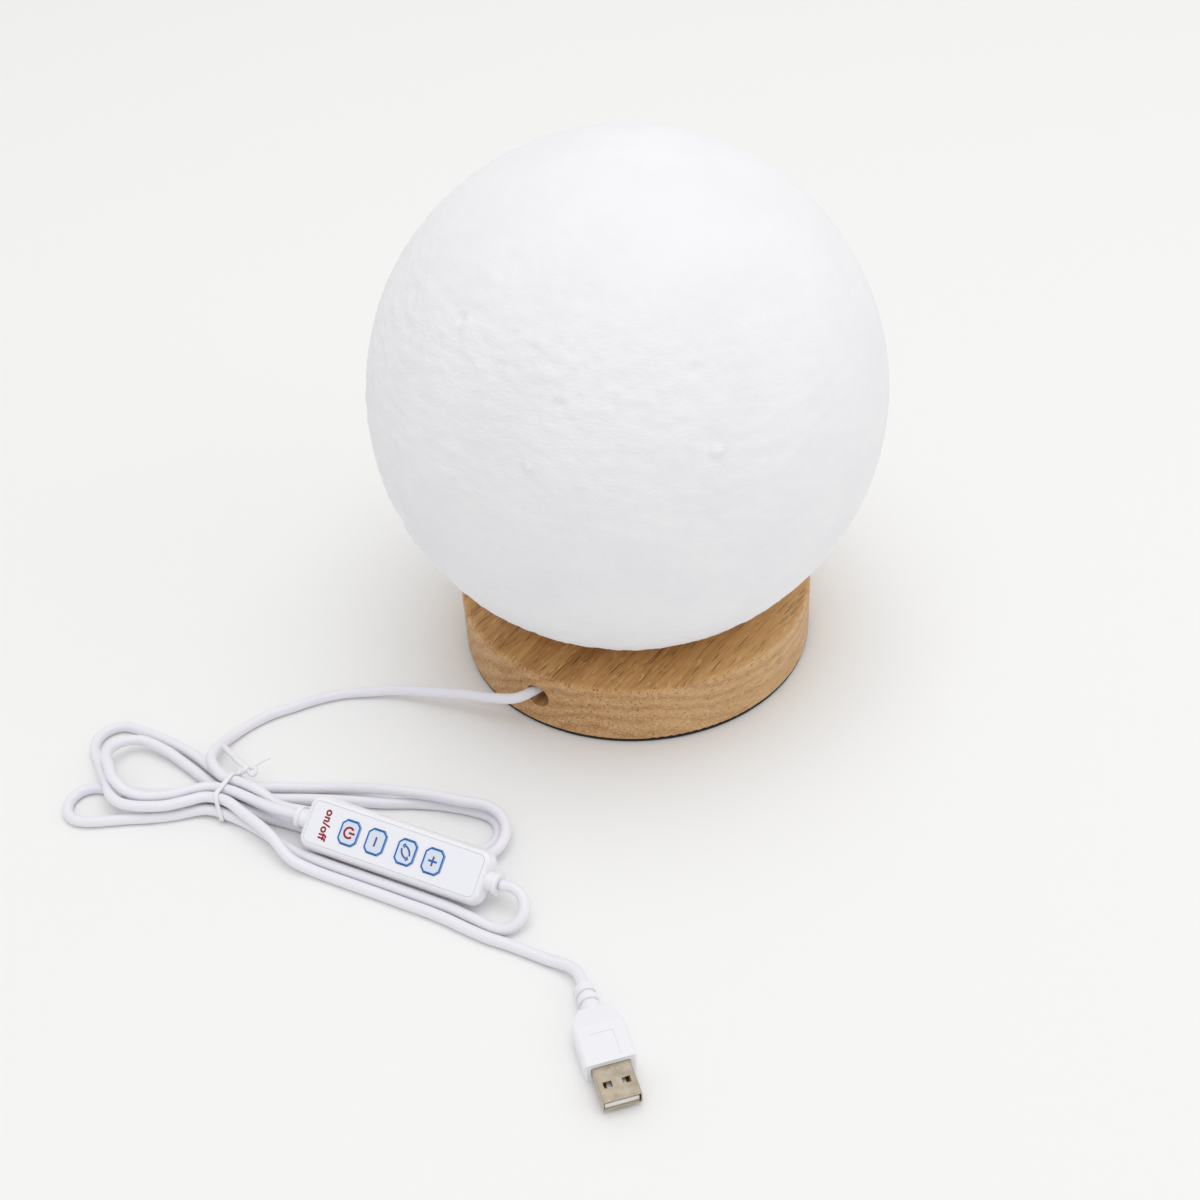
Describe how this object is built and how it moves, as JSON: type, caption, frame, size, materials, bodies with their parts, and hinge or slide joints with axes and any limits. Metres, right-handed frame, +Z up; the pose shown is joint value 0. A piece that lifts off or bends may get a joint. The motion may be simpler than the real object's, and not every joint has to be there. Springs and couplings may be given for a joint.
{
  "type": "table lamp",
  "caption": "Printed moon globe lamp on a round wooden foot, with a lift-off globe, a light board inside, a corded four-key control and a USB plug on a folded and tied cord",
  "frame": {"origin": "centre of the underside of the foot's soft pad, on the surface it stands on", "axes": "+Z up along the common axis of foot and globe; the cord leaves towards -X and -Y; the picture looks along +Y and down"},
  "size_m": [0.2964, 0.3073, 0.1966],
  "materials": {
    "wood": "satin turned hardwood with short pores",
    "pad": "matt closed-cell foam",
    "abs_white": "moulded white plastic",
    "steel": "zinc-plated steel",
    "pcb_white": "white lacquered board",
    "led": "white light package with yellow phosphor",
    "lead": "insulated lead",
    "globe_print": "matt printed plastic with a fine relief, lets light through",
    "cord_pvc": "smooth soft cord cover",
    "ctl_shell": "moulded white plastic",
    "label": "printed face label",
    "key_blue": "pale blue key with a blue outline",
    "pcb_green": "green lacquered board",
    "chip": "moulded black package",
    "tie": "flat plastic-covered wire",
    "overmould": "soft white moulding",
    "plug_steel": "nickel-plated sheet",
    "tongue": "white insulating plastic",
    "contact": "gold-plated strip"
  },
  "bodies": {
    "base": {"wood_base": "wood", "base_pad": "pad", "lamp_holder": "abs_white", "holder_screws": "steel", "led_board": "pcb_white", "leds": "led", "board_screws": "steel", "lead_wires": "lead", "cord_clamp": "abs_white", "clamp_screws": "steel", "cord_from_base": "cord_pvc", "cord_hank_base": "cord_pvc", "controller_bottom": "ctl_shell", "controller_top": "ctl_shell", "controller_label": "label", "controller_board": "pcb_green", "key_switches": "steel", "controller_chips": "chip", "cord_hank_plug": "cord_pvc", "twist_tie": "tie", "cord_to_plug": "cord_pvc", "plug_body": "overmould", "plug_shell": "plug_steel", "plug_tongue": "tongue", "plug_contacts": "contact"},
    "globe": {"moon_globe": "globe_print"},
    "key_power": {"key_power": "key_blue"},
    "key_minus": {"key_minus": "key_blue"},
    "key_mode": {"key_mode": "key_blue"},
    "key_plus": {"key_plus": "key_blue"}
  },
  "joints": [
    {"name": "globe_lift", "type": "slide", "parent": "base", "child": "globe", "axis": [0, 0, 1], "range_m": [0, 0.06]},
    {"name": "key_power_press", "type": "slide", "parent": "base", "child": "key_power", "axis": [0.2649, 0.5088, -0.8191], "range_m": [0, 0.0004], "stiffness_N_per_m": 500, "springref_m": -0.0002},
    {"name": "key_minus_press", "type": "slide", "parent": "base", "child": "key_minus", "axis": [0.2649, 0.5088, -0.8191], "range_m": [0, 0.0004], "stiffness_N_per_m": 500, "springref_m": -0.0002},
    {"name": "key_mode_press", "type": "slide", "parent": "base", "child": "key_mode", "axis": [0.2649, 0.5088, -0.8191], "range_m": [0, 0.0004], "stiffness_N_per_m": 500, "springref_m": -0.0002},
    {"name": "key_plus_press", "type": "slide", "parent": "base", "child": "key_plus", "axis": [0.2649, 0.5088, -0.8191], "range_m": [0, 0.0004], "stiffness_N_per_m": 500, "springref_m": -0.0002}
  ]
}
